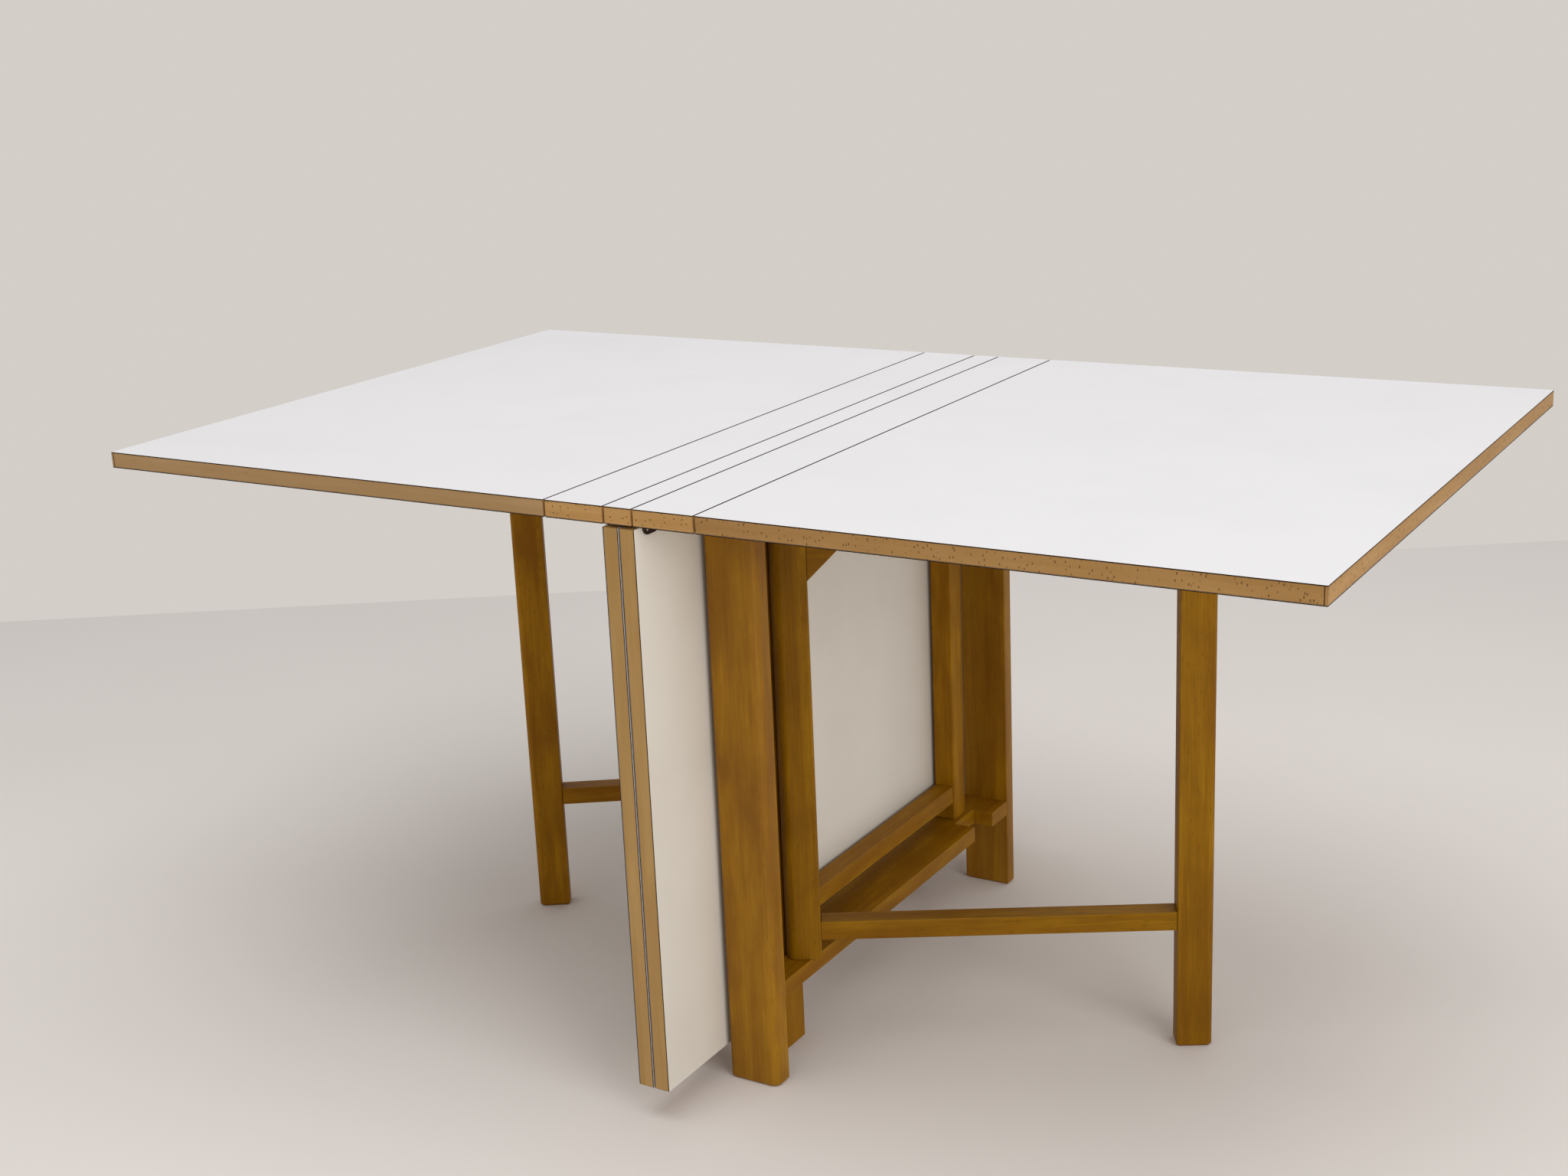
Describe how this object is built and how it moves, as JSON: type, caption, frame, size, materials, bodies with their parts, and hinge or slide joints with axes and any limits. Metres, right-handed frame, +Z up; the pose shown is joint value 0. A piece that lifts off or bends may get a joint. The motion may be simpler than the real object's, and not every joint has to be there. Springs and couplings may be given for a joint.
{
  "type": "folding gateleg dining table",
  "caption": "Folding gateleg dining table with white laminate leaves and a beech frame, half extended: outer leaves up on open gates, inner leaves hanging.",
  "frame": {"origin": "on the floor, below the middle of the top as it stands half extended", "axes": "+Z up, +X along the length of the table, -Y towards the near side"},
  "size_m": [1.51, 0.9, 0.72],
  "materials": {
    "laminate_board": "white satin laminate on a wood-based core",
    "lipping": "clear-lacquered light beech",
    "frame": "amber-stained lacquered beech",
    "hinge": "dark bronzed steel"
  },
  "bodies": {
    "right_half": {"right_strip_board": "laminate_board", "right_strip_lipping": "lipping", "right_near_end_leg": "frame", "right_far_end_leg": "frame", "right_stretcher": "frame", "right_inner_gate_gusset": "frame", "right_inner_gate_leg": "frame", "right_inner_gate_lower_rail": "frame", "right_inner_gate_stile": "frame", "right_inner_gate_top_rail": "frame", "right_inner_leaf_hinge_far_strip_flap": "hinge", "right_inner_leaf_hinge_near_strip_flap": "hinge", "right_outer_leaf_hinge_far_strip_flap": "hinge", "right_outer_leaf_hinge_near_strip_flap": "hinge"},
    "right_outer_gate": {"right_outer_gate_gusset": "frame", "right_outer_gate_leg": "frame", "right_outer_gate_lower_rail": "frame", "right_outer_gate_stile": "frame", "right_outer_gate_top_rail": "frame"},
    "right_outer_leaf": {"right_outer_leaf_board": "laminate_board", "right_outer_leaf_lipping": "lipping", "right_outer_leaf_hinge_far_leaf_flap": "hinge", "right_outer_leaf_hinge_near_leaf_flap": "hinge"},
    "right_inner_leaf": {"right_inner_leaf_board": "laminate_board", "right_inner_leaf_lipping": "lipping", "right_inner_leaf_hinge_far_leaf_flap": "hinge", "right_inner_leaf_hinge_near_leaf_flap": "hinge"},
    "left_inner_leaf": {"left_inner_leaf_board": "laminate_board", "left_inner_leaf_lipping": "lipping", "left_inner_leaf_hinge_far_leaf_flap": "hinge", "left_inner_leaf_hinge_near_leaf_flap": "hinge"},
    "left_half": {"left_strip_board": "laminate_board", "left_strip_lipping": "lipping", "left_near_end_leg": "frame", "left_far_end_leg": "frame", "left_stretcher": "frame", "left_inner_gate_gusset": "frame", "left_inner_gate_leg": "frame", "left_inner_gate_lower_rail": "frame", "left_inner_gate_stile": "frame", "left_inner_gate_top_rail": "frame", "left_inner_leaf_hinge_far_strip_flap": "hinge", "left_inner_leaf_hinge_near_strip_flap": "hinge", "left_outer_leaf_hinge_far_strip_flap": "hinge", "left_outer_leaf_hinge_near_strip_flap": "hinge"},
    "left_outer_gate": {"left_outer_gate_gusset": "frame", "left_outer_gate_leg": "frame", "left_outer_gate_lower_rail": "frame", "left_outer_gate_stile": "frame", "left_outer_gate_top_rail": "frame"},
    "left_outer_leaf": {"left_outer_leaf_board": "laminate_board", "left_outer_leaf_lipping": "lipping", "left_outer_leaf_hinge_far_leaf_flap": "hinge", "left_outer_leaf_hinge_near_leaf_flap": "hinge"},
    "centre_strip": {"centre_strip_board": "laminate_board", "centre_strip_lipping": "lipping"}
  },
  "joints": [
    {"name": "right_outer_gate_swing", "type": "hinge", "parent": "right_half", "child": "right_outer_gate", "pos_m": [0.076, -0.234, 0.12], "axis": [0, 0, -1], "range_deg": [-60.6, 29.4]},
    {"name": "right_outer_leaf_lift", "type": "hinge", "parent": "right_half", "child": "right_outer_leaf", "pos_m": [0.0938, 0, 0.7004], "axis": [0, 1, 0], "range_deg": [-5, 0]},
    {"name": "right_inner_leaf_raise", "type": "hinge", "parent": "right_half", "child": "right_inner_leaf", "pos_m": [0.0202, 0, 0.7004], "axis": [0, 1, 0], "range_deg": [0, 90]},
    {"name": "left_inner_leaf_unfold", "type": "hinge", "parent": "right_inner_leaf", "child": "left_inner_leaf", "pos_m": [0, 0, 0.038], "axis": [0, 1, 0], "range_deg": [-180, 0]},
    {"name": "left_half_draw_out", "type": "hinge", "parent": "left_inner_leaf", "child": "left_half", "pos_m": [-0.0202, 0, 0.7004], "axis": [0, 1, 0], "range_deg": [0, 90]},
    {"name": "centre_strip_turn_over", "type": "hinge", "parent": "right_half", "child": "centre_strip", "pos_m": [0.01825, 0, 0.7203], "axis": [0, 1, 0], "range_deg": [0, 180]},
    {"name": "left_outer_gate_swing", "type": "hinge", "parent": "left_half", "child": "left_outer_gate", "pos_m": [-0.076, 0.234, 0.12], "axis": [0, 0, -1], "range_deg": [-56.4, 33.6]},
    {"name": "left_outer_leaf_lift", "type": "hinge", "parent": "left_half", "child": "left_outer_leaf", "pos_m": [-0.0938, 0, 0.7004], "axis": [0, -1, 0], "range_deg": [-5, 0]}
  ],
  "couplings": [
    {"joint": "left_inner_leaf_unfold", "follows": "right_inner_leaf_raise", "ratio": -2},
    {"joint": "left_half_draw_out", "follows": "right_inner_leaf_raise", "ratio": 1},
    {"joint": "centre_strip_turn_over", "follows": "right_inner_leaf_raise", "ratio": 2}
  ]
}
